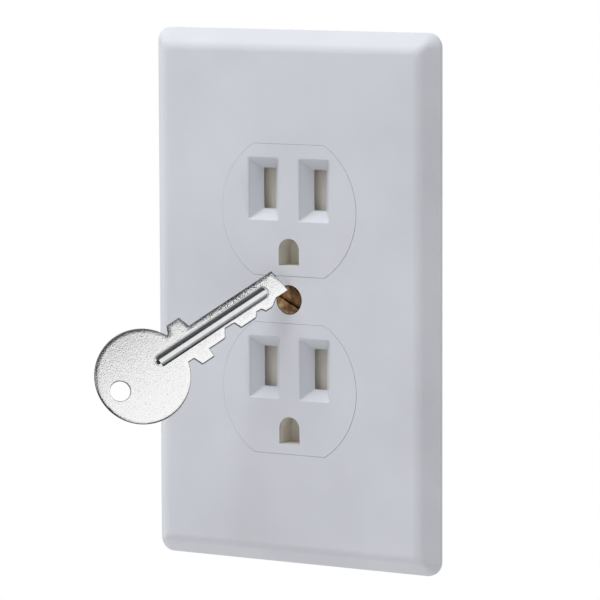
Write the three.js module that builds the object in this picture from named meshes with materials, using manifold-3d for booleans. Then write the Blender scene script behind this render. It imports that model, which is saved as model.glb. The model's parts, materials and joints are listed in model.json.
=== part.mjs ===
// An outlet diversion safe: a drawer in the wall behind a plate that looks like a double outlet.
// Millimetres. +X is right and +Z up as the plate is looked at, and +Y goes into the wall.
// The origin is the middle of the wall's surface behind the plate. At rest the drawer is closed,
// the lock is open and the key is at the lock screw.
import * as THREE from "three";
import { mergeVertices } from "three/addons/utils/BufferGeometryUtils.js";
import Module from "manifold-3d";

const wasm = await Module();
wasm.setup();

// Plate
const plateStand = 4.45;
const plateEdge = 0.9;
const plateCorner = 3.2;
const plateInnerCorner = 1.07;
const plateRim = 2.6;
const plateWall = 2.0;
const slopeWidth = 3.0;
const slopeStart = 0.6;
const shoulderWidth = 1.4;

// Outlet faces and the mouldings behind them
const faceMargin = 1.74;
const faceTrim = 2.6;
const faceLockGap = 5.25;
const faceCorner = 0.9;
const faceProud = 0.2;
const faceLip = 0.8;
const faceBack = 1.3;
const backingInset = 1.9;
const slotPitch = 12.7;
const slotLift = 4.4;
const slotWidth = 3.0;
const slotHeight = 8.8;
const funnelWidth = 7.6;
const funnelHeight = 13.45;
const funnelDepth = 2.8;
const groundMargin = 5.1;
const groundWidth = 5.1;
const groundHeight = 5.9;
const groundSkin = 0.5;
const groundWall = 1.3;

// Sleeve in the wall, which clears the outlet faces, and its flange, which the plate's rim clears
const sleeveSideMargin = 8.8;
const sleeveEndMargin = 5.95;
const sleeveDepth = 82.0;
const sleeveWall = 1.6;
const flangeSide = 3.2;
const flangeEnd = 12.2;
const flangeSideGap = 1.7;
const flangeEndGap = 1.4;
const flangeThickness = 1.4;
const flangeCorner = 3.0;
const stopRibFront = 8.0;
const stopRibThickness = 2.0;
const stopRibHeight = 2.0;
const stopRibWidth = 9.0;
const stopRibPlace = 13.0;

// Tray
const trayFront = 0.6;
const trayFrontWall = 2.0;
const trayWall = 1.6;
const trayBackGap = 0.8;
const traySideGap = 0.5;
const traySideDrop = 4.4;

// Tray screws and the bosses that take them
const bossSideInset = 5.4;
const bossEndInset = 5.1;
const bossRadius = 3.2;
const trayScrewRadius = 1.25;
const trayScrewHeadRadius = 2.8;
const trayScrewHeadHeight = 1.7;
const trayScrewTip = 2.0;
const trayDriveWidth = 0.8;
const trayDriveLength = 3.2;
const trayDriveDepth = 0.9;

// Lock
const lockHeadRadius = 3.0;
const lockHeadProud = 0.2;
const lockHeadRound = 0.3;
const lockSlotDepth = 0.7;
const lockSlotAngle = -27;
const lockHoleGap = 0.25;
const spindleRadius = 2.0;
const spindleThreadRadius = 1.4;
const spindleSquare = 3.0;
const spindleTail = 0.9;
const bushingFlangeRadius = 4.0;
const bushingFlange = 0.8;
const bushingRadius = 3.4;
const bushingBack = 4.9;
const bushingNutWidth = 10.0;
const bushingNutThickness = 2.0;
const springWasherRadius = 4.2;
const springWasherThickness = 0.4;
const springWasherWaves = 3;
const springWasherWaveHeight = 0.25;
const camFront = 6.2;
const camThickness = 1.6;
const camShort = 0.2;
const camWidth = 8.0;
const camHubRadius = 5.6;
const camWindowGap = 0.6;
const camNutWidth = 5.5;
const camNutThickness = 2.2;

// Clamps that hold the sleeve to the wallboard
const wallboard = 12.7;
const wingGap = 0.6;
const lugWidth = 11.0;
const lugHeight = 10.0;
const lugDepth = 5.0;
const clampScrewRadius = 1.75;
const clampScrewHeadRadius = 3.3;
const clampScrewHeadHeight = 1.9;
const clampScrewHeadSunk = 0.3;
const clampScrewEnd = 44.0;
const clampDriveWidth = 0.9;
const clampDriveDepth = 0.8;
const wingHubRadius = 4.0;
const wingReach = 11.4;
const wingThickness = 4.0;
const wingHubLength = 9.0;
const wingRibWidth = 2.4;
const wingToothDepth = 0.6;
const wingToothShares = [0.3, 0.7];

// Key, drawn lying flat from its tip, then turned to where a hand holds it
const keyThickness = 1.0;
const keyTipHalf = 2.7;
const keyTipSlant = 0.29;
const keyBackHalf = 2.8;
const keyBelly = 3.86;
const keyBladeLength = 22.2;
const keyEarBack = 5.45;
const keyEarBelly = 5.8;
const keyEarLength = 3.15;
const keyEarSlope = 0.8;
const keyCutShares = [0.13, 0.21, 0.287, 0.404, 0.582, 0.774];
const keyShallowCut = 1.05;
const keyDeepCut = 1.85;
const keyNeckHalf = 3.75;
const keyBowCentre = 36.8;
const keyBowDrop = 0.8;
const keyBowRadius = 10.4;
const keyRingPlace = 42.7;
const keyRingRadius = 2.2;
const keyRibStart = 4.4;
const keyRibEnd = 31.9;
const keyRibRadius = 1.5;
const keyRibHeight = 0.7;
const keyRibDrop = 0.1;
const keySlip = 0.15;
const keyYaw = 31.04;
const keyPitch = 6.35;
const keyLean = 33.4;
const keyPoint = 14;
const keyRoll = 5;
const keyGap = 0.35;
const keyCornerX = 0.62;
const keyCornerZ = 2.3;

// Clearances and steps
const seatGap = 0.15;
const runGap = 0.15;
const overrun = 1.0;
const arcSteps = 8;
const mergeDistance = 1e-4;
const roundSides = 32;

// Sizes that follow. The face clears its funnels, the faces clear the lock, and so on outwards.
const pocketDepth = plateStand - plateWall;
const faceFront = plateStand + faceProud;
const funnelBack = faceFront - funnelDepth;
const backingFront = funnelBack - seatGap;
const backingBack = trayFront - seatGap;
const faceRadius = Math.hypot((slotPitch + funnelWidth) / 2, slotLift + funnelHeight / 2) + faceMargin;
const faceFlat = faceRadius - faceTrim;
const facePitch = 2 * (faceFlat + faceLockGap);
const groundDrop = faceFlat - groundMargin;
const sleeveWidth = 2 * (faceRadius + faceLip + sleeveSideMargin + sleeveWall);
const sleeveHeight = 2 * (facePitch / 2 + faceFlat + faceLip + sleeveEndMargin + sleeveWall);
const flangeWidth = sleeveWidth + 2 * flangeSide;
const flangeHeight = sleeveHeight + 2 * flangeEnd;
const plateWidth = flangeWidth + 2 * (flangeSideGap + plateRim);
const plateHeight = flangeHeight + 2 * (flangeEndGap + plateRim);
const clampPlaceZ = sleeveHeight / 2 + wingHubRadius + wingGap;
const trayInnerFront = trayFront + trayFrontWall;
const trayWidth = sleeveWidth - 2 * (sleeveWall + traySideGap);
const trayHeight = sleeveHeight - 2 * (sleeveWall + traySideGap);
const trayBack = sleeveDepth - sleeveWall - trayBackGap;
const traySideTop = trayHeight / 2 - traySideDrop;
const bossPlaceX = trayWidth / 2 - bossSideInset;
const bossPlaceZ = trayHeight / 2 - bossEndInset;
const lockRim = plateStand - seatGap;
const lockHeadBack = pocketDepth;
const lockSlotWidth = keyThickness + keySlip;
const camReach = sleeveWidth / 2 - camShort;
const camBack = camFront + camThickness;
const camNutFront = camBack + seatGap;
const camNutBack = camNutFront + camNutThickness;

const white = new THREE.MeshStandardMaterial({ color: 0xe9eaee, roughness: 0.45 });
const beige = new THREE.MeshStandardMaterial({ color: 0xc9c2ae, roughness: 0.6 });
const grey = new THREE.MeshStandardMaterial({ color: 0xbfc3c8, roughness: 0.6 });
const brass = new THREE.MeshStandardMaterial({ color: 0x9a7440, roughness: 0.4, metalness: 1 });
const steel = new THREE.MeshStandardMaterial({ color: 0xb9bcc0, roughness: 0.35, metalness: 1 });
const nickel = new THREE.MeshStandardMaterial({ color: 0xd8dadc, roughness: 0.25, metalness: 1 });

// A closed geometry as a solid that can be cut and joined.
function solid(geometry) {
  const bare = geometry.index ? geometry.toNonIndexed() : geometry.clone();
  bare.deleteAttribute("normal");
  bare.deleteAttribute("uv");
  const merged = mergeVertices(bare, mergeDistance);
  return new wasm.Manifold(
    new wasm.Mesh({
      numProp: 3,
      vertProperties: merged.attributes.position.array,
      triVerts: new Uint32Array(merged.index.array),
    }),
  );
}

function piece(name, body, material) {
  const mesh = body.getMesh();
  const geometry = new THREE.BufferGeometry();
  geometry.setAttribute("position", new THREE.BufferAttribute(mesh.vertProperties, 3));
  geometry.setIndex(new THREE.BufferAttribute(mesh.triVerts, 1));
  geometry.computeVertexNormals();
  const made = new THREE.Mesh(geometry, material);
  made.name = name;
  return made;
}

// An outline seen from the front, made solid from one depth to another.
function slab(outline, front, back, curveSegments = arcSteps) {
  const depth = back - front;
  const geometry = new THREE.ExtrudeGeometry(outline, { depth, bevelEnabled: false, curveSegments });
  return solid(geometry.rotateX(Math.PI / 2).translate(0, back, 0));
}

function block(left, right, front, back, bottom, top) {
  const geometry = new THREE.BoxGeometry(right - left, back - front, top - bottom);
  return solid(geometry.translate((left + right) / 2, (front + back) / 2, (bottom + top) / 2));
}

function rod(radius, front, back, x = 0, z = 0, sides = roundSides) {
  const geometry = new THREE.CylinderGeometry(radius, radius, back - front, sides);
  return solid(geometry.translate(0, (front + back) / 2, 0)).translate(x, 0, z);
}

// A hexagon nut whose width is measured across its flats.
function hexagon(width, front, back) {
  return rod(width / Math.sqrt(3), front, back, 0, 0, 6);
}

function roundedRectangle(width, height, radius) {
  const x = width / 2;
  const z = height / 2;
  const shape = new THREE.Shape();
  shape.moveTo(-x + radius, -z);
  shape.lineTo(x - radius, -z);
  shape.absarc(x - radius, -z + radius, radius, -Math.PI / 2, 0);
  shape.lineTo(x, z - radius);
  shape.absarc(x - radius, z - radius, radius, 0, Math.PI / 2);
  shape.lineTo(-x + radius, z);
  shape.absarc(-x + radius, z - radius, radius, Math.PI / 2, Math.PI);
  shape.lineTo(-x, -z + radius);
  shape.absarc(-x + radius, -z + radius, radius, Math.PI, 1.5 * Math.PI);
  return shape;
}

function rectangle(width, height) {
  const x = width / 2;
  const z = height / 2;
  return new THREE.Shape([[-x, -z], [x, -z], [x, z], [-x, z]].map(([a, b]) => new THREE.Vector2(a, b)));
}

// The points of an outline, each once.
function outlinePoints(outline) {
  const points = outline.extractPoints(arcSteps).shape;
  return points.filter((p, i) => p.distanceTo(points.at(i - 1)) > mergeDistance);
}

// Convex outlines with as many points each, joined front to back: [outline, depth] pairs.
function loft(levels) {
  const rings = levels.map(([outline, y]) =>
    outlinePoints(outline).map((p) => new THREE.Vector3(p.x, y, p.y)),
  );
  const count = rings[0].length;
  const positions = [];
  const face = (...corners) => corners.forEach((c) => positions.push(c.x, c.y, c.z));
  for (let k = 0; k + 1 < rings.length; k++) {
    for (let i = 0; i < count; i++) {
      const j = (i + 1) % count;
      face(rings[k][i], rings[k + 1][i], rings[k][j]);
      face(rings[k][j], rings[k + 1][i], rings[k + 1][j]);
    }
  }
  const first = rings[0];
  const last = rings[rings.length - 1];
  for (let i = 1; i + 1 < count; i++) {
    face(first[0], first[i], first[i + 1]);
    face(last[0], last[i + 1], last[i]);
  }
  const geometry = new THREE.BufferGeometry();
  geometry.setAttribute("position", new THREE.Float32BufferAttribute(positions, 3));
  return solid(geometry);
}

// A profile of [radius, depth] pairs, front to back, turned about the lock's axis.
function turned(profile, sides = roundSides) {
  const points = profile.map(([radius, y]) => new THREE.Vector2(radius, y));
  return new THREE.LatheGeometry(points, sides);
}

// The outline of an outlet face: a circle cut flat above and below, grown by some margin.
function faceOutline(grown) {
  const radius = faceRadius + grown;
  const flat = faceFlat + grown;
  const corner = faceCorner;
  const inner = radius - corner;
  const lean = Math.asin((flat - corner) / inner);
  const x = inner * Math.cos(lean);
  const shape = new THREE.Shape();
  shape.moveTo(-x, -flat);
  shape.lineTo(x, -flat);
  shape.absarc(x, -flat + corner, corner, -Math.PI / 2, -lean);
  shape.absarc(0, 0, radius, -lean, lean);
  shape.absarc(x, flat - corner, corner, lean, Math.PI / 2);
  shape.lineTo(-x, flat);
  shape.absarc(-x, flat - corner, corner, Math.PI / 2, Math.PI - lean);
  shape.absarc(0, 0, radius, Math.PI - lean, Math.PI + lean);
  shape.absarc(-x, -flat + corner, corner, Math.PI + lean, 1.5 * Math.PI);
  return shape;
}

// The ground hole: flat below and round above, grown by some margin.
function groundOutline(grown) {
  const half = groundWidth / 2 + grown;
  const bottom = -groundHeight / 2 - grown;
  const spring = groundHeight / 2 - groundWidth / 2;
  const shape = new THREE.Shape();
  shape.moveTo(-half, bottom);
  shape.lineTo(half, bottom);
  shape.lineTo(half, spring);
  shape.absarc(0, spring, half, 0, Math.PI);
  return shape;
}

function plateSolid() {
  const at = (inset, y) => {
    const corner = Math.max(plateCorner - inset, plateInnerCorner);
    return [roundedRectangle(plateWidth - 2 * inset, plateHeight - 2 * inset, corner), y];
  };
  return loft([
    at(slopeWidth + shoulderWidth, -plateStand),
    at(slopeWidth, -plateStand + slopeStart),
    at(0, -plateEdge),
    at(0, 0),
  ]);
}

function bossPlaces() {
  return [-1, 1].flatMap((sx) => [1, -1].map((sz) => [sx * bossPlaceX, sz * bossPlaceZ]));
}

function faceplate() {
  const width = plateWidth - 2 * plateRim;
  const height = plateHeight - 2 * plateRim;
  let body = plateSolid();
  body = body.subtract(slab(rectangle(width, height), -pocketDepth, overrun));
  for (const z of [facePitch / 2, -facePitch / 2]) {
    const hole = slab(faceOutline(seatGap), -plateStand - overrun, 0);
    body = body.subtract(hole.translate(0, 0, z));
  }
  body = body.subtract(rod(lockHeadRadius + lockHoleGap, -plateStand - overrun, 0));
  for (const [x, z] of bossPlaces()) {
    body = body.add(rod(bossRadius, -pocketDepth - plateWall / 2, backingBack, x, z));
    body = body.subtract(rod(trayScrewRadius + runGap, -trayScrewTip - seatGap, overrun, x, z));
  }
  return piece("faceplate", body, white);
}

function slotPlaces() {
  return [-slotPitch / 2, slotPitch / 2];
}

// The white face, with a funnel into each blade slot and a pocket behind for its backing.
function outletFace(name, z) {
  let body = slab(faceOutline(0), -faceFront, -faceBack);
  body = body.add(slab(faceOutline(faceLip), -pocketDepth + seatGap, -faceBack));
  body = body.subtract(slab(faceOutline(seatGap - backingInset), -funnelBack, 0));
  for (const x of slotPlaces()) {
    const funnel = loft([
      [rectangle(funnelWidth, funnelHeight), -faceFront],
      [rectangle(slotWidth, slotHeight), -funnelBack],
    ]);
    const mouth = slab(rectangle(funnelWidth, funnelHeight), -faceFront - overrun, -faceFront);
    const slot = slab(rectangle(slotWidth, slotHeight), -funnelBack, 0);
    body = body.subtract(funnel.add(mouth).add(slot).translate(x, 0, slotLift));
  }
  const ground = slab(groundOutline(0), -faceFront - overrun, 0);
  const nib = slab(groundOutline(groundWall + seatGap), -faceFront + groundSkin, 0);
  body = body.subtract(ground.add(nib).translate(0, 0, -groundDrop));
  return piece(name, body.translate(0, 0, z), white);
}

// The beige moulding behind a face, which lines its slots and its ground hole.
function outletBacking(name, z) {
  let body = slab(faceOutline(-backingInset), -backingFront, backingBack);
  const nibFront = -faceFront + groundSkin + seatGap;
  const nib = slab(groundOutline(groundWall), nibFront, backingBack);
  body = body.add(nib.translate(0, 0, -groundDrop));
  for (const x of slotPlaces()) {
    const slot = slab(rectangle(slotWidth, slotHeight), -faceFront, overrun);
    body = body.subtract(slot.translate(x, 0, slotLift));
  }
  const ground = slab(groundOutline(0), -faceFront, overrun);
  body = body.subtract(ground.translate(0, 0, -groundDrop));
  return piece(name, body.translate(0, 0, z), beige);
}

// How far up and down the cam's end sweeps at a wall whose inner face is so far from the lock.
function camSweep(wallInside) {
  return Math.sqrt(camReach ** 2 - wallInside ** 2);
}

// The hole that the cam's end swings through, in the left wall.
function camWindow(wallInside, wallThickness) {
  const left = -wallInside - wallThickness - overrun;
  const bottom = -camSweep(wallInside) - camWindowGap;
  const top = camWidth / 2 + camWindowGap;
  const front = camFront - camWindowGap;
  return block(left, -wallInside + overrun, front, camBack + camWindowGap, bottom, top);
}

function wallSleeve() {
  const x = sleeveWidth / 2;
  const z = sleeveHeight / 2;
  const inX = x - sleeveWall;
  const inZ = z - sleeveWall;
  let body = block(-x, x, -flangeThickness, sleeveDepth, -z, z);
  body = body.add(slab(roundedRectangle(flangeWidth, flangeHeight, flangeCorner), -flangeThickness, 0));
  for (const bottom of [z, -z - lugHeight]) {
    const lug = block(-lugWidth / 2, lugWidth / 2, -flangeThickness, lugDepth, bottom, bottom + lugHeight);
    body = body.add(lug);
  }
  const inside = block(-inX, inX, -flangeThickness - overrun, sleeveDepth - sleeveWall, -inZ, inZ);
  body = body.subtract(inside);
  for (const middle of [stopRibPlace, -stopRibPlace]) {
    const rib = block(
      middle - stopRibWidth / 2,
      middle + stopRibWidth / 2,
      stopRibFront,
      stopRibFront + stopRibThickness,
      inZ - stopRibHeight,
      inZ + sleeveWall / 2,
    );
    body = body.add(rib);
  }
  body = body.subtract(camWindow(inX, sleeveWall));
  const seat = -flangeThickness + clampScrewHeadSunk + clampScrewHeadHeight + seatGap;
  for (const place of [clampPlaceZ, -clampPlaceZ]) {
    const sunk = rod(clampScrewHeadRadius + runGap, -flangeThickness - overrun, seat, 0, place);
    const hole = rod(clampScrewRadius + runGap, -flangeThickness, lugDepth + overrun, 0, place);
    body = body.subtract(sunk).subtract(hole);
  }
  return piece("wall_sleeve", body, grey);
}

function drawerTray() {
  const x = trayWidth / 2;
  const z = trayHeight / 2;
  let body = block(-x, x, trayFront, trayBack, -z, z);
  const innerX = x - trayWall;
  const innerBack = trayBack - trayWall;
  const above = z + overrun;
  const inside = block(-innerX, innerX, trayInnerFront, innerBack, -z + trayWall, above);
  const sides = block(-x - overrun, x + overrun, trayInnerFront, innerBack, traySideTop, above);
  body = body.subtract(inside).subtract(sides);
  body = body.subtract(camWindow(innerX, trayWall));
  body = body.subtract(rod(bushingRadius + runGap, 0, trayInnerFront + overrun));
  for (const [bx, bz] of bossPlaces()) {
    body = body.subtract(rod(trayScrewRadius + runGap, 0, trayInnerFront + overrun, bx, bz));
  }
  return piece("drawer_tray", body, beige);
}

function trayScrew(name, x, z) {
  const seat = trayInnerFront + seatGap;
  const top = seat + trayScrewHeadHeight;
  let body = rod(trayScrewRadius, -trayScrewTip, top);
  body = body.add(rod(trayScrewHeadRadius, seat, top));
  for (const [w, h] of [[trayDriveWidth, trayDriveLength], [trayDriveLength, trayDriveWidth]]) {
    body = body.subtract(slab(rectangle(w, h), top - trayDriveDepth, top + overrun));
  }
  return piece(name, body.translate(x, 0, z), steel);
}

function lockSpindle() {
  const crown = -lockRim - lockHeadProud;
  let body = solid(
    turned([
      [0, crown],
      [lockHeadRadius - lockHeadRound - lockHeadProud, crown],
      [lockHeadRadius - lockHeadRound / 2, crown + lockHeadProud / 2],
      [lockHeadRadius, -lockRim + seatGap],
      [lockHeadRadius, -lockHeadBack],
      [0, -lockHeadBack],
    ]),
  );
  body = body.add(rod(spindleRadius, -lockHeadBack - seatGap, camFront));
  body = body.add(slab(rectangle(spindleSquare, spindleSquare), camFront - seatGap, camBack));
  body = body.add(rod(spindleThreadRadius, camBack - seatGap, camNutBack + spindleTail));
  const across = rectangle(2 * lockHeadRadius + overrun, lockSlotWidth);
  const slot = slab(across, crown - overrun, crown + lockSlotDepth);
  body = body.subtract(slot.rotate([0, -lockSlotAngle, 0]));
  return piece("lock_spindle", body, brass);
}

function lockBushing() {
  const front = -pocketDepth + seatGap;
  let body = rod(bushingFlangeRadius, front, front + bushingFlange);
  body = body.add(rod(bushingRadius, front, bushingBack));
  body = body.subtract(rod(spindleRadius + runGap, -plateStand, bushingBack + overrun));
  return piece("lock_bushing", body, brass);
}

function bushingNut() {
  const front = trayInnerFront + seatGap;
  const back = front + bushingNutThickness;
  let body = hexagon(bushingNutWidth, front, back);
  body = body.subtract(rod(bushingRadius + runGap, front - overrun, back + overrun));
  return piece("bushing_nut", body, brass);
}

// A washer bent into waves round its ring, which presses the cam away from the bushing.
function springWasher() {
  const inside = spindleRadius + runGap;
  const half = springWasherThickness / 2;
  const geometry = turned(
    [
      [inside, half],
      [inside, -half],
      [springWasherRadius, -half],
      [springWasherRadius, half],
      [inside, half],
    ],
    2 * roundSides,
  );
  const position = geometry.attributes.position;
  for (let i = 0; i < position.count; i++) {
    const turn = Math.atan2(position.getZ(i), position.getX(i));
    const wave = springWasherWaveHeight * Math.cos(springWasherWaves * turn);
    position.setY(i, position.getY(i) + wave);
  }
  return piece("spring_washer", solid(geometry).translate(0, (bushingBack + camFront) / 2, 0), steel);
}

// At rest the cam hangs down. It turns up to the left wall to lock the drawer.
function lockCam() {
  const half = camWidth / 2;
  const shoulder = Math.asin(half / camReach);
  const arm = new THREE.Shape();
  arm.moveTo(half, 0);
  arm.lineTo(-half, 0);
  arm.absarc(0, 0, camReach, -Math.PI / 2 - shoulder, -Math.PI / 2 + shoulder);
  const square = spindleSquare + 2 * runGap;
  let body = slab(arm, camFront, camBack);
  body = body.add(rod(camHubRadius, camFront, camBack));
  body = body.subtract(slab(rectangle(square, square), camFront - overrun, camBack + overrun));
  return piece("lock_cam", body, steel);
}

function camNut() {
  let body = hexagon(camNutWidth, camNutFront, camNutBack);
  body = body.subtract(rod(spindleThreadRadius + runGap, camNutFront - overrun, camNutBack + overrun));
  return piece("cam_nut", body, brass);
}

function clampScrew(name) {
  const front = -flangeThickness + clampScrewHeadSunk;
  const back = front + clampScrewHeadHeight;
  let body = rod(clampScrewHeadRadius, front, back);
  body = body.add(rod(clampScrewRadius, front, clampScrewEnd));
  const drive = rectangle(2 * clampScrewHeadRadius + overrun, clampDriveWidth);
  body = body.subtract(slab(drive, front - overrun, front + clampDriveDepth));
  return piece(name, body, steel);
}

// The wing stands out past the sleeve, with teeth on the face that meets the back of the wallboard.
function clampWing(name) {
  const arm = new THREE.Shape();
  arm.moveTo(-wingHubRadius, 0);
  arm.lineTo(wingHubRadius, 0);
  arm.lineTo(wingHubRadius, wingReach);
  arm.lineTo(-wingHubRadius, wingReach);
  let body = slab(arm, wallboard, wallboard + wingThickness);
  body = body.add(rod(wingHubRadius, wallboard, wallboard + wingHubLength));
  const rib = [
    new THREE.Vector2(wallboard + wingThickness / 2, 0),
    new THREE.Vector2(wallboard + wingHubLength, 0),
    new THREE.Vector2(wallboard + wingHubLength, wingHubRadius),
    new THREE.Vector2(wallboard + wingThickness, wingReach),
    new THREE.Vector2(wallboard + wingThickness / 2, wingReach),
  ];
  const ribGeometry = new THREE.ExtrudeGeometry(new THREE.Shape(rib), {
    depth: wingRibWidth,
    bevelEnabled: false,
  });
  ribGeometry.translate(0, 0, -wingRibWidth / 2);
  ribGeometry.rotateX(Math.PI / 2).rotateZ(Math.PI / 2);
  body = body.add(solid(ribGeometry));
  for (const share of wingToothShares) {
    const z = wingHubRadius + share * (wingReach - wingHubRadius);
    const notch = block(
      -wingHubRadius - overrun,
      wingHubRadius + overrun,
      wallboard - overrun,
      wallboard + wingToothDepth,
      z - wingToothDepth,
      z + wingToothDepth,
    );
    body = body.subtract(notch);
  }
  const hubBack = wallboard + wingHubLength;
  body = body.subtract(rod(clampScrewRadius + runGap, wallboard - overrun, hubBack + overrun));
  return piece(name, body, steel);
}

// A clamp is drawn about its screw, and the lower one is the upper one turned half round.
function clamp(place, turn, screwName, wingName) {
  const group = new THREE.Group();
  group.rotation.y = turn;
  group.position.z = place;
  group.add(clampScrew(screwName), clampWing(wingName));
  return group;
}

// Lies along -X from its tip, with its cuts below and its rib in front.
function keyOutline() {
  const cut = (start, end, depth) => [
    [start, -keyBelly],
    [(start + end) / 2, -keyBelly + depth],
    [end, -keyBelly],
  ];
  const length = keyBladeLength;
  const bowX = keyBowCentre;
  const points = [
    [-keyTipSlant, -keyTipHalf],
    [keyCutShares[0] * length, -keyTipHalf],
    [keyCutShares[1] * length, -keyBelly],
    ...cut(keyCutShares[2] * length, keyCutShares[3] * length, keyShallowCut),
    ...cut(keyCutShares[4] * length, keyCutShares[5] * length, keyDeepCut),
    [length - keyEarSlope, -keyBelly],
    [length - keyEarSlope, -keyEarBelly],
    [length - keyEarSlope + keyEarLength, -keyEarBelly],
    [length + keyEarLength, -keyNeckHalf],
  ];
  const shape = new THREE.Shape();
  points.forEach(([u, v], i) => (i ? shape.lineTo(-u, v) : shape.moveTo(-u, v)));
  const start = Math.asin((keyNeckHalf - keyBowDrop) / keyBowRadius);
  const end = Math.asin((keyNeckHalf + keyBowDrop) / keyBowRadius);
  shape.absarc(-bowX, -keyBowDrop, keyBowRadius, -start, end, true);
  const back = [
    [length + keyEarLength + 2 * keyEarSlope, keyNeckHalf],
    [length + keyEarLength + keyEarSlope, keyEarBack],
    [length + keyEarSlope, keyEarBack],
    [length, keyBackHalf],
    [keyTipSlant, keyBackHalf],
  ];
  back.forEach(([u, v]) => shape.lineTo(-u, v));
  return shape;
}

function key() {
  const length = keyRibEnd - keyRibStart;
  let body = slab(keyOutline(), 0, keyThickness, 3 * arcSteps);
  const ring = rod(keyRingRadius, -overrun, keyThickness + overrun, -keyRingPlace, -keyBowDrop);
  body = body.subtract(ring);
  const capsule = new THREE.CapsuleGeometry(keyRibRadius, length, arcSteps / 2, 2 * arcSteps);
  capsule.rotateZ(Math.PI / 2);
  capsule.scale(1, keyRibHeight / keyRibRadius, 1);
  capsule.translate(-(keyRibStart + keyRibEnd) / 2, 0, -keyRibDrop);
  const side = 2 * keyRibRadius;
  const front = block(-keyBowCentre, 0, -side, keyThickness / 2, -side, side);
  body = body.add(solid(capsule).intersect(front));
  body = body.translate(-keyTipSlant, 0, keyTipHalf);
  return piece("key", body, nickel);
}

// The key's lower tip corner is at the lock screw. Its flat turns to the side that it is seen from,
// then its tip points in a little and its back edge leans away.
function heldKey() {
  const turned = new THREE.Group();
  turned.rotation.order = "ZXY";
  turned.rotation.set(
    THREE.MathUtils.degToRad(-keyPitch),
    THREE.MathUtils.degToRad(-keyLean),
    THREE.MathUtils.degToRad(keyYaw),
  );
  const held = key();
  held.rotation.order = "ZXY";
  held.rotation.set(THREE.MathUtils.degToRad(-keyRoll), 0, THREE.MathUtils.degToRad(keyPoint));
  const backCorner = keyThickness * Math.cos(THREE.MathUtils.degToRad(keyYaw));
  turned.position.set(keyCornerX, -lockRim - lockHeadProud - keyGap - backCorner, keyCornerZ);
  turned.add(held);
  return turned;
}

function outletSafe() {
  const safe = new THREE.Group();
  safe.add(wallSleeve());
  safe.add(clamp(clampPlaceZ, 0, "clamp_screw_upper", "clamp_wing_upper"));
  safe.add(clamp(-clampPlaceZ, Math.PI, "clamp_screw_lower", "clamp_wing_lower"));
  safe.add(faceplate());
  safe.add(outletFace("outlet_face_upper", facePitch / 2));
  safe.add(outletFace("outlet_face_lower", -facePitch / 2));
  safe.add(outletBacking("outlet_backing_upper", facePitch / 2));
  safe.add(outletBacking("outlet_backing_lower", -facePitch / 2));
  safe.add(drawerTray());
  bossPlaces().forEach(([x, z], i) => safe.add(trayScrew("tray_screw_" + (i + 1), x, z)));
  safe.add(lockBushing(), bushingNut(), springWasher());
  safe.add(lockSpindle(), lockCam(), camNut());
  safe.add(heldKey());
  return safe;
}

export default outletSafe();
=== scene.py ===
# Looks of an outlet diversion safe: a drawer in the wall behind a plate that passes for a double
# outlet. +X is right and +Z up as the plate is looked at, and +Y goes into the wall. Metres.
import json
import math

import bmesh
import bpy
from mathutils import Matrix, Vector

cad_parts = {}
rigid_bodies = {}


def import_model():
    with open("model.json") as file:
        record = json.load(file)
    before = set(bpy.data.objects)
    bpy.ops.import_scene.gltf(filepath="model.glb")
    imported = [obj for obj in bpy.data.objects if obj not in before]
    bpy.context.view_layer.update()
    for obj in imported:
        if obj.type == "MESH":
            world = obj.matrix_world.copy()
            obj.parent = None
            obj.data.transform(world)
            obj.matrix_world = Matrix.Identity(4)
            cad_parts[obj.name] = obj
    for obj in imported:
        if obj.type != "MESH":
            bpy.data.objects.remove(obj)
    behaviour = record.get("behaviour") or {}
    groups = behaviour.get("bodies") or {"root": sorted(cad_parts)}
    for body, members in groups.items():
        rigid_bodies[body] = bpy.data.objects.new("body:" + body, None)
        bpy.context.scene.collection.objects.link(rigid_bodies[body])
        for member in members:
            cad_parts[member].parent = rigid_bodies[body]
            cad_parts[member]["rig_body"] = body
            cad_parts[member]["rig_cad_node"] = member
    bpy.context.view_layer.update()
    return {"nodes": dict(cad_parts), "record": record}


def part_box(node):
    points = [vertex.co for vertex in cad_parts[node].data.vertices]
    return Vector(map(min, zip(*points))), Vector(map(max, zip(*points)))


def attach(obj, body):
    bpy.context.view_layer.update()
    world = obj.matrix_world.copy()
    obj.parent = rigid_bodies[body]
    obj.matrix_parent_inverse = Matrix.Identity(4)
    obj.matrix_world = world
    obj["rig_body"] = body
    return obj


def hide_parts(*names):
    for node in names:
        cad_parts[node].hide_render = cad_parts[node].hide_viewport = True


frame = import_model()

MM = 0.001

# How near counts as the same, how much room is left between pieces and how far cutters go past
TINY = 1e-6
NEARLY = 0.999
SEAT_GAP = 0.15 * MM
OVERRUN = 1.0 * MM

# Faces round a rod, round the lock's head, round its thread and round an outlet face
ROUND = 64
LOCK_ROUND = 96
TAIL_ROUND = 32
FINE_ROUND = 192

# Faces that meet at more than the first angle have an edge to round, and at less than the second
# they are one face
SOFT_ANGLE = math.radians(35)
FLAT_ANGLE = math.radians(1)

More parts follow.
